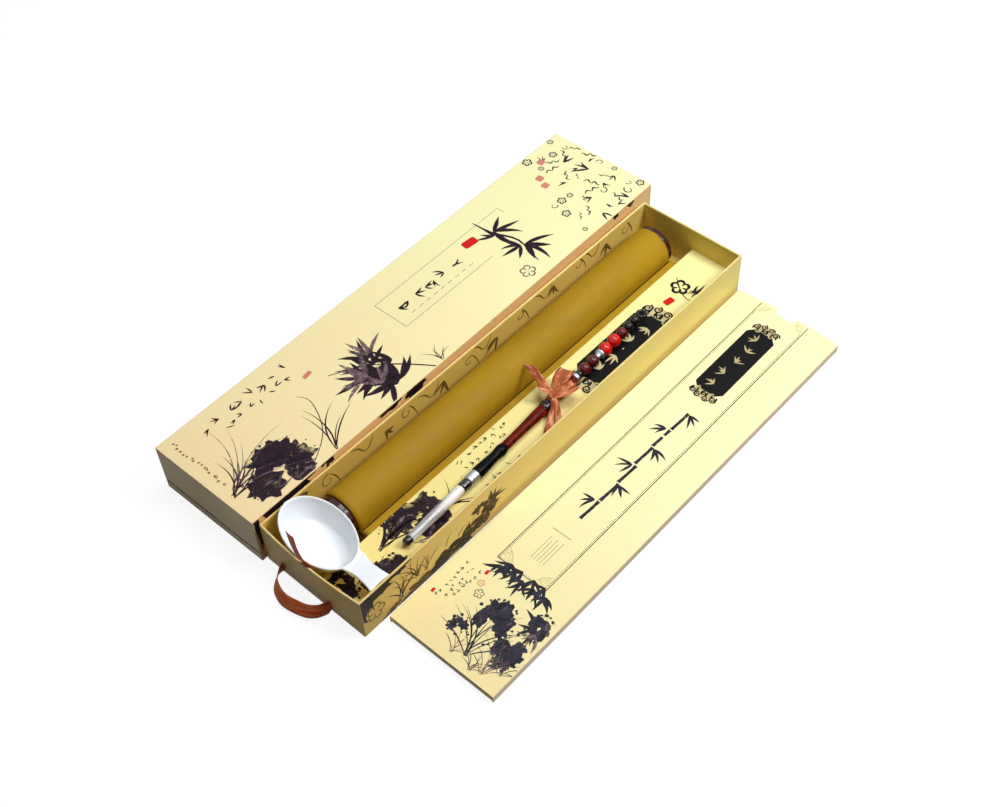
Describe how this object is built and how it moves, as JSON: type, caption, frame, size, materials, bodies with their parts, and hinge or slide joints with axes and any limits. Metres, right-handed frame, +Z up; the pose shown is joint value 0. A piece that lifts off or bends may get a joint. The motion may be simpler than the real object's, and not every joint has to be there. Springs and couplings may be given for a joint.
{
  "type": "calligraphy set box",
  "caption": "Open calligraphy practice box: tray with rolled writing cloth, beaded brush, capped tip and white water dish, beside its lidded sleeve and a flat folder of cards.",
  "frame": {"origin": "the centre of the tray's base, on the surface it lies on", "axes": "+Y runs along the tray to its far end, +X toward the folder, +Z up"},
  "size_m": [0.3382, 0.5092, 0.0797],
  "materials": {
    "greyboard": "bare grey board",
    "wrap_paper": "pale yellow printed paper, semi-gloss",
    "lining_paper": "gold paper",
    "step_card": "white-grey folding card",
    "step_paper": "pale yellow printed paper",
    "satin": "copper satin ribbon",
    "bow_satin": "copper satin ribbon",
    "cloth": "olive gold writing cloth",
    "rod_wood": "plain wood",
    "cap_lacquer": "maroon gloss",
    "lath_wood": "plain wood",
    "glaze": "white glaze",
    "hair": "white brush hair",
    "navy": "navy gloss",
    "silver": "polished silver",
    "horn": "polished black horn",
    "handle_lacquer": "dark red lacquer",
    "black_gloss": "black gloss",
    "cord": "dark red cord",
    "maroon_bead": "maroon gloss",
    "red_bead": "bright red gloss",
    "clear": "clear plastic",
    "folder_card": "pale yellow printed card",
    "practice_card": "white printed card"
  },
  "bodies": {
    "tray": {"tray_board": "greyboard", "tray_wrap": "wrap_paper", "tray_lining": "lining_paper", "platform_board": "step_card", "platform_wrap": "step_paper", "pull_ribbon": "satin"},
    "roll": {"cloth_roll": "cloth", "cloth_hem": "cloth", "hem_lath": "lath_wood", "roll_core": "rod_wood", "roll_cap_near": "cap_lacquer", "roll_cap_far": "cap_lacquer"},
    "dish": {"dish": "glaze"},
    "brush": {"brush_bristles": "hair", "ferrule_navy": "navy", "ferrule_silver": "silver", "horn_socket": "horn", "brush_handle": "handle_lacquer", "handle_ring": "black_gloss", "tail_cord": "cord", "tail_ring": "silver", "tail_bell": "silver", "bead_spacer": "maroon_bead", "bead_maroon_1": "maroon_bead", "bead_maroon_2": "maroon_bead", "bead_red_1": "red_bead", "bead_red_2": "red_bead", "bead_wine": "maroon_bead", "bead_black_1": "black_gloss", "bead_black_2": "black_gloss", "end_ring": "black_gloss", "bow_ribbon": "bow_satin"},
    "brush_cap": {"cap_cone": "clear", "cap_plug": "black_gloss"},
    "sleeve": {"sleeve_board": "greyboard", "sleeve_end": "greyboard", "sleeve_wrap": "wrap_paper"},
    "end_flap": {"flap_board": "greyboard", "flap_wrap": "wrap_paper"},
    "folder": {"folder_tube": "folder_card", "folder_strip": "folder_card", "folder_end_flap": "folder_card"},
    "card_1": {"practice_card_1": "practice_card"},
    "card_2": {"practice_card_2": "practice_card"},
    "card_3": {"practice_card_3": "practice_card"},
    "card_4": {"practice_card_4": "practice_card"},
    "card_5": {"practice_card_5": "practice_card"},
    "card_6": {"practice_card_6": "practice_card"}
  },
  "joints": [
    {"name": "roll_lift", "type": "slide", "parent": "tray", "child": "roll", "axis": [0, 0, 1], "range_m": [0, 0.08]},
    {"name": "dish_lift", "type": "slide", "parent": "tray", "child": "dish", "axis": [0, 0, 1], "range_m": [0, 0.09]},
    {"name": "brush_lift", "type": "slide", "parent": "roll", "child": "brush", "axis": [0, 0, 1], "range_m": [0, 0.09]},
    {"name": "cap_slide", "type": "slide", "parent": "brush", "child": "brush_cap", "axis": [0.0375, -0.9993, -0.0022], "range_m": [0, 0.063]},
    {"name": "sleeve_lift", "type": "slide", "parent": "tray", "child": "sleeve", "axis": [0, 0, 1], "range_m": [0, 0.1]},
    {"name": "flap_hinge", "type": "hinge", "parent": "sleeve", "child": "end_flap", "pos_m": [-0.11252, -0.24004, 0.05044], "axis": [-0.9999, -0.0106, 0], "range_deg": [0, 120]},
    {"name": "folder_lift", "type": "slide", "parent": "tray", "child": "folder", "axis": [0, 0, 1], "range_m": [0, 0.1]},
    {"name": "card_1_slide", "type": "slide", "parent": "folder", "child": "card_1", "axis": [-0.0031, 1, 0], "range_m": [0, 0.44]},
    {"name": "card_2_slide", "type": "slide", "parent": "folder", "child": "card_2", "axis": [-0.0031, 1, 0], "range_m": [0, 0.44]},
    {"name": "card_3_slide", "type": "slide", "parent": "folder", "child": "card_3", "axis": [-0.0031, 1, 0], "range_m": [0, 0.44]},
    {"name": "card_4_slide", "type": "slide", "parent": "folder", "child": "card_4", "axis": [-0.0031, 1, 0], "range_m": [0, 0.44]},
    {"name": "card_5_slide", "type": "slide", "parent": "folder", "child": "card_5", "axis": [-0.0031, 1, 0], "range_m": [0, 0.44]},
    {"name": "card_6_slide", "type": "slide", "parent": "folder", "child": "card_6", "axis": [-0.0031, 1, 0], "range_m": [0, 0.44]}
  ]
}
